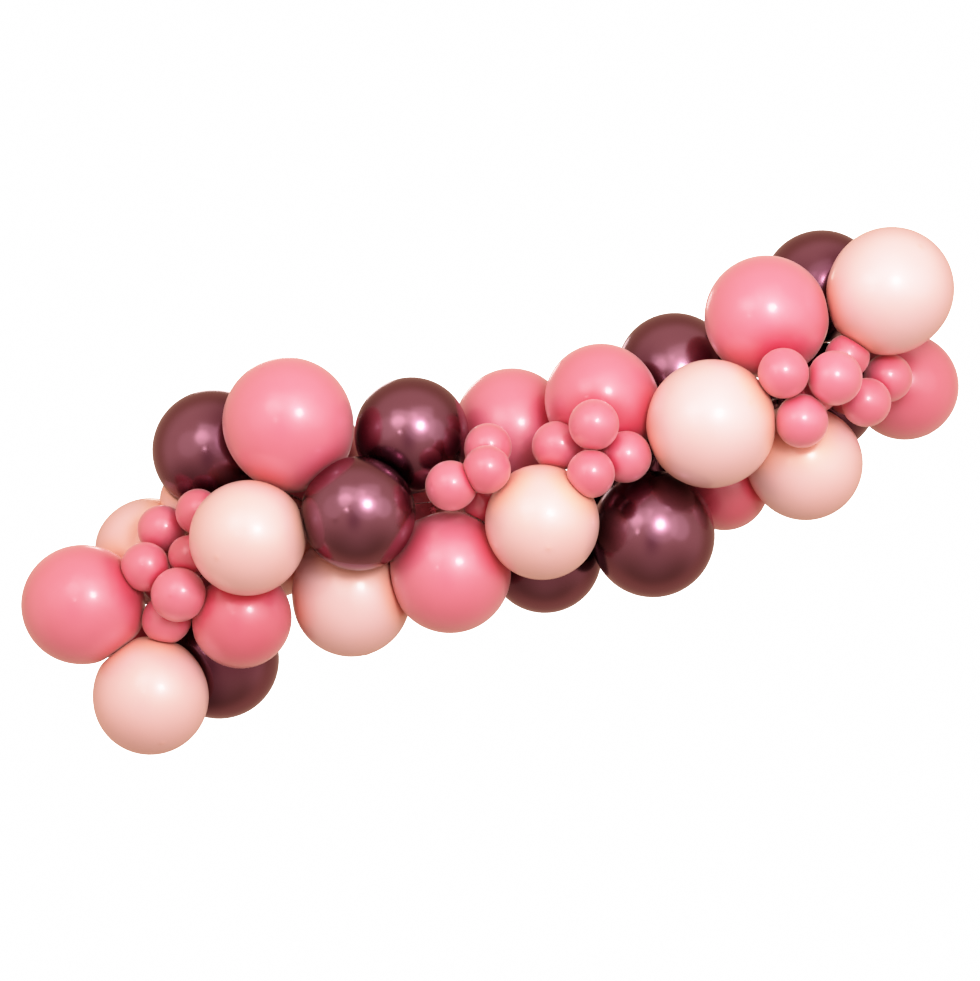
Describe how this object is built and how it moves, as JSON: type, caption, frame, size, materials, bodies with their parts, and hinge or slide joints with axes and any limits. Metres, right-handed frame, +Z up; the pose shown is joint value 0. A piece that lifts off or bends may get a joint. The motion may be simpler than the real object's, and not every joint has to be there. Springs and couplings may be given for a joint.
{
  "type": "balloon garland",
  "caption": "Wall-hung balloon garland that slopes up to the right: rose, blush and plum chrome latex balloons with mini clusters on a clear punched strip.",
  "frame": {"origin": "middle of the back face of the upper tab, the strip's right-hand end, flat on the wall", "axes": "+X along the wall to the right, +Z up, +Y into the wall; the balloons are on the -Y side"},
  "size_m": [2.0774, 0.5474, 1.1314],
  "materials": {
    "rose_latex": "opaque dusty rose latex with a satin shine",
    "blush_latex": "pale blush latex, slightly translucent, satin shine",
    "plum_chrome_latex": "plum chrome-effect metallic latex, satin shine",
    "clear_strip": "clear flexible plastic tape"
  },
  "bodies": {
    "root": {"blush_01": "blush_latex", "blush_02": "blush_latex", "blush_03": "blush_latex", "blush_04": "blush_latex", "blush_05": "blush_latex", "blush_06": "blush_latex", "blush_07": "blush_latex", "blush_08": "blush_latex", "blush_09": "blush_latex", "blush_10": "blush_latex", "blush_11": "blush_latex", "clear_strip": "clear_strip", "plum_chrome_01": "plum_chrome_latex", "plum_chrome_02": "plum_chrome_latex", "plum_chrome_03": "plum_chrome_latex", "plum_chrome_04": "plum_chrome_latex", "plum_chrome_05": "plum_chrome_latex", "plum_chrome_06": "plum_chrome_latex", "plum_chrome_07": "plum_chrome_latex", "plum_chrome_08": "plum_chrome_latex", "plum_chrome_09": "plum_chrome_latex", "plum_chrome_10": "plum_chrome_latex", "plum_chrome_11": "plum_chrome_latex", "rose_01": "rose_latex", "rose_02": "rose_latex", "rose_03": "rose_latex", "rose_04": "rose_latex", "rose_05": "rose_latex", "rose_06": "rose_latex", "rose_07": "rose_latex", "rose_08": "rose_latex", "rose_09": "rose_latex", "rose_10": "rose_latex", "rose_11": "rose_latex", "rose_12": "rose_latex", "rose_mini_01": "rose_latex", "rose_mini_02": "rose_latex", "rose_mini_03": "rose_latex", "rose_mini_04": "rose_latex", "rose_mini_05": "rose_latex", "rose_mini_06": "rose_latex", "rose_mini_07": "rose_latex", "rose_mini_08": "rose_latex", "rose_mini_09": "rose_latex", "rose_mini_10": "rose_latex", "rose_mini_11": "rose_latex", "rose_mini_12": "rose_latex", "rose_mini_13": "rose_latex", "rose_mini_14": "rose_latex", "rose_mini_15": "rose_latex", "rose_mini_16": "rose_latex", "rose_mini_17": "rose_latex", "rose_mini_18": "rose_latex", "rose_mini_19": "rose_latex", "rose_mini_20": "rose_latex", "rose_mini_21": "rose_latex", "rose_mini_22": "rose_latex", "rose_mini_23": "rose_latex", "rose_mini_24": "rose_latex"}
  },
  "joints": []
}
